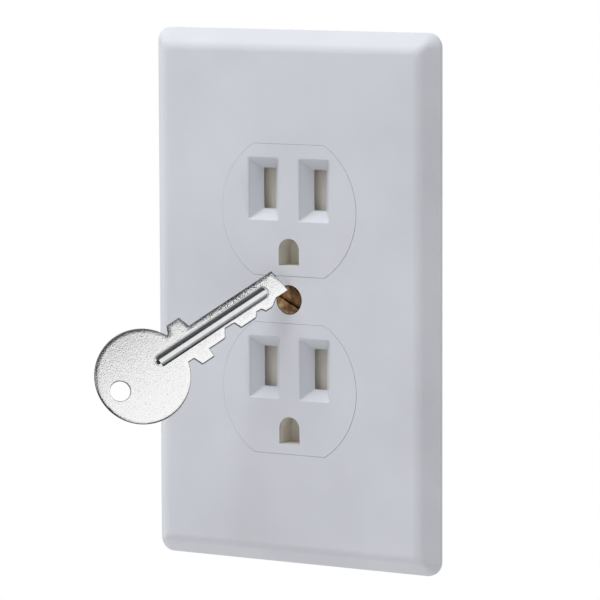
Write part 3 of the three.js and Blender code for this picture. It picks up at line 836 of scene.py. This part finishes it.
# The wall's front with the hole that the sleeve goes into, and the floor
WALL_GAP = 0.1 * MM
WALL_HOLE = Vector((57.0, 104.0)) * MM
WALL_SPREAD = Vector((12, 7.2))
FLOOR_DROP = 0.25
FLOOR_SIZE = 4.0


def photo_camera():
    """The camera that was fitted to the photograph, with its angles in degrees."""
    data = bpy.data.cameras.new("photo_camera")
    data.lens = CAMERA_LENS
    data.sensor_width = CAMERA_SENSOR
    camera = bpy.data.objects.new("photo_camera", data)
    bpy.context.collection.objects.link(camera)
    turn = Matrix.Rotation(math.radians(CAMERA_YAW), 4, "Z")
    turn = turn @ Matrix.Rotation(math.radians(90 - CAMERA_PITCH), 4, "X")
    turn = turn @ Matrix.Rotation(math.radians(CAMERA_ROLL), 4, "Z")
    back = turn @ Vector((0, 0, CAMERA_DISTANCE))
    camera.matrix_world = Matrix.Translation(CAMERA_TARGET + back) @ turn
    bpy.context.scene.camera = camera


def sky():
    """White where the camera or a metal looks, and an even light for the rest."""
    world = bpy.data.worlds.new("studio")
    bpy.context.scene.world = world
    world.use_nodes = True
    tree = world.node_tree
    tree.nodes.clear()
    ray = add(tree, "LightPath")
    seen = add(tree, "Math", {"operation": "ADD", "use_clamp": True})
    tree.links.new(ray.outputs["Is Camera Ray"], seen.inputs[0])
    tree.links.new(ray.outputs["Is Glossy Ray"], seen.inputs[1])
    even = add(tree, "Background", {"Color": (1, 1, 1, 1), "Strength": AMBIENT})
    white = add(tree, "Background", {"Color": (1, 1, 1, 1), "Strength": 1.0})
    mix = add(tree, "MixShader", links={"Fac": seen.outputs[0]})
    tree.links.new(even.outputs[0], mix.inputs[1])
    tree.links.new(white.outputs[0], mix.inputs[2])
    add(tree, "OutputWorld", links={"Surface": mix.outputs[0]})


def top_lamp():
    """A soft box above, a little in front and to the left."""
    data = bpy.data.lights.new("soft_box", "AREA")
    data.shape = "SQUARE"
    data.size = LAMP_SIZE
    data.energy = LAMP_POWER
    lamp = bpy.data.objects.new("soft_box", data)
    bpy.context.collection.objects.link(lamp)
    lamp.location = LAMP_DIRECTION * LAMP_DISTANCE
    lamp.rotation_euler = LAMP_DIRECTION.to_track_quat("Z", "Y").to_euler()
    lamp.visible_glossy = False


# Cards round the key: the way they go from the key's front (1 to its back edge, -1 to its cuts,
# 0 to its bow), their span in degrees, their distance and ends, and their greys by share of 180
# degrees
CARDS = [
    ("over_key", 1, 13.5, 82, 0.1, (-0.1, 0.1),
     [(0.09, "#444547"), (0.2, "#606264"), (0.36, "#8c8d8f"), (0.43, "#e0e0e0")]),
    ("under_key", -1, 20, 108, 0.24, (-0.1, 0.2),
     [(0.12, "#d0d0d0"), (0.3, "#58595c"), (0.38, "#131314")]),
    ("behind_bow", 0, 17, 75, 0.3, (-0.12, 0.12),
     [(0.03, "#3a3534"), (0.2, "#2a2827")]),
]


def dark_card(name, side, first, last, radius, ends, stops):
    """A curved card by the key that only metal sees, as a photographer hangs one."""
    material, tree, shader, place = surface(name + "_card", Roughness=0.9)
    parts = add(tree, "SeparateXYZ", links={"Vector": place}).outputs
    across = parts["Z"] if side else parts["X"]
    front = add(tree, "Math", {"operation": "MULTIPLY"})
    front.inputs[1].default_value = -1
    tree.links.new(parts["Y"], front.inputs[0])
    angle = add(tree, "Math", {"operation": "ARCTAN2"})
    tree.links.new(across, angle.inputs[0])
    tree.links.new(front.outputs[0], angle.inputs[1])
    turn = add(tree, "Math", {"operation": "ABSOLUTE"})
    tree.links.new(angle.outputs[0], turn.inputs[0])
    share = add(tree, "Math", {"operation": "DIVIDE"})
    share.inputs[1].default_value = math.pi
    tree.links.new(turn.outputs[0], share.inputs[0])
    tree.links.new(ramp(tree, share.outputs[0], *stops), shader.inputs["Base Color"])
    deselect()
    bpy.ops.mesh.primitive_cylinder_add(
        vertices=CARD_FACES, radius=radius, depth=ends[1] - ends[0], end_fill_type="NOTHING",
        location=(sum(ends) / 2, 0, 0) if side else (0, 0, sum(ends) / 2),
        rotation=(0, math.pi / 2, 0) if side else (0, 0, 0))
    card = placed(name + "_card")

    def faces_span(face):
        spot = face.calc_center_median()
        sideways = spot.z * side if side else -spot.x
        return first < math.degrees(math.atan2(sideways, -spot.y)) < last

    pick(card, "FACE", lambda face: not faces_span(face))
    bpy.ops.mesh.delete(type="FACE")
    leave()
    card.matrix_world = key_matrix()
    card.data.materials.append(material)
    card.visible_camera = False
    card.visible_diffuse = False
    card.visible_shadow = False


def show_front_alone(tree, looks):
    """Makes the back of a surface clear, so that it never hides the object."""
    side = add(tree, "NewGeometry").outputs["Backfacing"]
    clear = add(tree, "BsdfTransparent")
    mix = add(tree, "MixShader", links={"Fac": side})
    tree.links.new(looks, mix.inputs[1])
    tree.links.new(clear.outputs[0], mix.inputs[2])
    tree.links.new(mix.outputs[0], tree.nodes["Material Output"].inputs["Surface"])


def studio_wall():
    """The wall's front round the sleeve's hole, white to the camera."""
    deselect()
    bpy.ops.mesh.primitive_plane_add(
        size=1, rotation=(math.pi / 2, 0, 0), location=(0, WALL_GAP, 0))
    wall = placed("wall")
    pick(wall, "VERT", lambda vert: True)
    bpy.ops.transform.resize(value=(WALL_HOLE.x, 1, WALL_HOLE.y), center_override=(0, 0, 0))
    bpy.ops.mesh.select_mode(type="EDGE")
    bpy.ops.mesh.select_all(action="SELECT")
    bpy.ops.mesh.extrude_edges_move()
    bpy.ops.transform.resize(
        value=(WALL_SPREAD.x, 1, WALL_SPREAD.y), center_override=(0, 0, 0))
    leave()
    # The face in the middle is the hole
    pick(wall, "FACE", lambda face: face.calc_center_median().length < 2 * MM)
    bpy.ops.mesh.delete(type="FACE")
    leave()
    material, tree = surface("white_wall")[:2]
    white = add(tree, "Emission", {"Color": (1, 1, 1, 1), "Strength": 1.0})
    show_front_alone(tree, white.outputs[0])
    wall.data.materials.append(material)
    wall.visible_diffuse = False
    wall.visible_glossy = False
    wall.visible_shadow = False


def studio_floor():
    """A pale floor, which shows from above alone."""
    deselect()
    bpy.ops.mesh.primitive_plane_add(size=FLOOR_SIZE, location=(0, 0, -FLOOR_DROP))
    ground = placed("floor")
    material, tree, shader = surface("pale_floor", Roughness=0.8)[:3]
    shader.inputs["Base Color"].default_value = colour("#e9e9ea")
    show_front_alone(tree, shader.outputs[0])
    ground.data.materials.append(material)
    ground.visible_glossy = False


photo_camera()
sky()
top_lamp()
for card in CARDS:
    dark_card(*card)
studio_wall()
studio_floor()
cover_plate()
for place, height in face_heights().items():
    outlet_face(place, height)
    outlet_backing(place, height)
lock_screw()
flat_key()
plain_pieces()

bpy.context.scene.view_settings.view_transform = "Standard"
